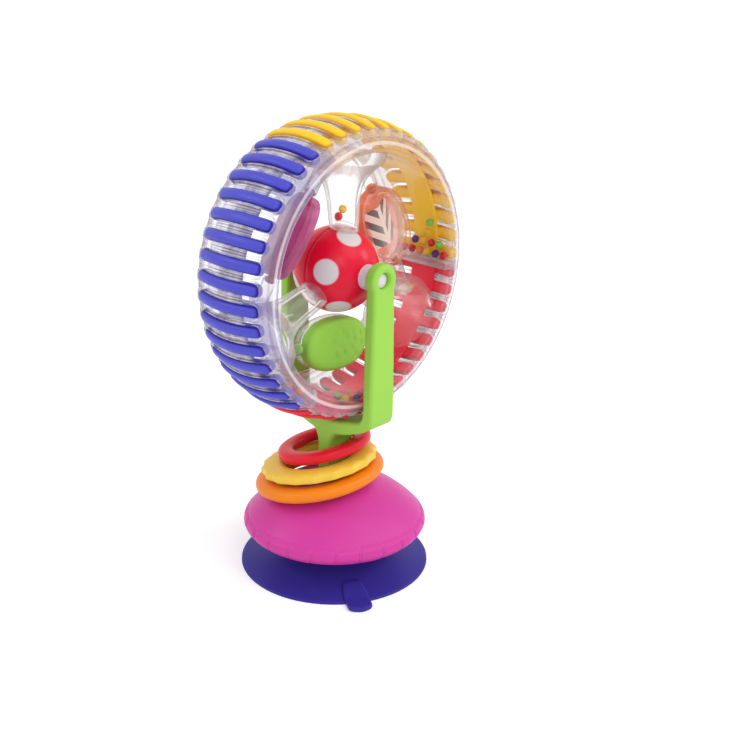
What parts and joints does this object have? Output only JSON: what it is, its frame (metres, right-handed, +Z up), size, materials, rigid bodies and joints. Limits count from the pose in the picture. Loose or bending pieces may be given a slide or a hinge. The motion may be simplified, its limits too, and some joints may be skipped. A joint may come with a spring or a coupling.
{
  "type": "baby rattle",
  "caption": "Table-top rattle: a clear bead-filled wheel with ribbed treads, flip pods and ball hub turns in a fork on a domed suction base with loose rings.",
  "frame": {"origin": "centre of the suction cup's underside, on the surface the toy stands on", "axes": "+Z up the stem, +Y along the wheel's axle towards the back, +X to the right seen from the front"},
  "size_m": [0.115, 0.0771, 0.18],
  "materials": {
    "dark_blue_rubber": "soft satin",
    "magenta_plastic": "satin moulded",
    "orange_plastic": "satin moulded",
    "yellow_plastic": "satin moulded",
    "red_plastic": "gloss moulded",
    "green_plastic": "satin moulded",
    "white_plastic": "gloss moulded",
    "clear_plastic": "clear gloss",
    "blue_tread": "satin moulded",
    "yellow_tread": "satin moulded",
    "red_tread": "satin moulded",
    "orange_clear": "translucent gloss",
    "magenta_clear": "translucent gloss",
    "card_print": "printed card with plain diagonal stripes",
    "steel_screw": "plated",
    "bead_red": "gloss",
    "bead_yellow": "gloss",
    "bead_purple": "gloss",
    "bead_green": "gloss",
    "bead_orange": "gloss",
    "bead_pink": "gloss"
  },
  "bodies": {
    "stand": {"suction_cup": "dark_blue_rubber", "base_dome": "magenta_plastic", "base_plate": "magenta_plastic", "base_screws": "steel_screw", "stem_screw": "steel_screw", "fork": "green_plastic", "axle": "white_plastic"},
    "wheel": {"wheel_shell_front": "clear_plastic", "wheel_shell_back": "clear_plastic", "tread_yellow": "yellow_tread", "tread_blue": "blue_tread", "tread_red": "red_tread", "ball_front": "red_plastic", "ball_back": "red_plastic", "hub_bush_front": "white_plastic", "hub_bush_back": "white_plastic", "beads_red": "bead_red", "beads_yellow": "bead_yellow", "beads_purple": "bead_purple", "beads_green": "bead_green", "beads_orange": "bead_orange", "beads_pink": "bead_pink"},
    "pod_orange": {"pod_orange_tray": "orange_clear", "pod_orange_lens": "clear_plastic", "striped_insert": "card_print"},
    "pod_magenta": {"pod_magenta_tray": "magenta_clear", "pod_magenta_lens": "clear_plastic"},
    "pod_green": {"pod_green_tray": "green_plastic", "pod_green_lens": "clear_plastic"},
    "ring_orange": {"orange_ring": "orange_plastic"},
    "ring_yellow": {"yellow_ring": "yellow_plastic"},
    "ring_red": {"red_ring": "red_plastic"}
  },
  "joints": [
    {"name": "wheel_spin", "type": "hinge", "parent": "stand", "child": "wheel", "pos_m": [0, 0, 0.1225], "axis": [0, 1, 0], "continuous": true},
    {"name": "pod_orange_flip", "type": "hinge", "parent": "wheel", "child": "pod_orange", "pos_m": [0.0261, 0, 0.13467], "axis": [-0.4226, 0, 0.9063], "continuous": true},
    {"name": "pod_magenta_flip", "type": "hinge", "parent": "wheel", "child": "pod_magenta", "pos_m": [-0.02359, 0, 0.13902], "axis": [-0.5736, 0, -0.8192], "continuous": true},
    {"name": "pod_green_flip", "type": "hinge", "parent": "wheel", "child": "pod_green", "pos_m": [-0.00251, 0, 0.09381], "axis": [0.9962, 0, -0.0872], "continuous": true},
    {"name": "ring_orange_spin", "type": "hinge", "parent": "stand", "child": "ring_orange", "pos_m": [-0.0035, 0.0051, 0.03731], "axis": [-0.0804, 0.1813, 0.9801], "continuous": true},
    {"name": "ring_yellow_spin", "type": "hinge", "parent": "stand", "child": "ring_yellow", "pos_m": [-0.0043, 0.0046, 0.04348], "axis": [-0.0588, 0.1911, 0.9798], "continuous": true},
    {"name": "ring_red_spin", "type": "hinge", "parent": "stand", "child": "ring_red", "pos_m": [-0.0013, 0.0047, 0.04945], "axis": [-0.0872, 0.2325, 0.9687], "continuous": true}
  ]
}
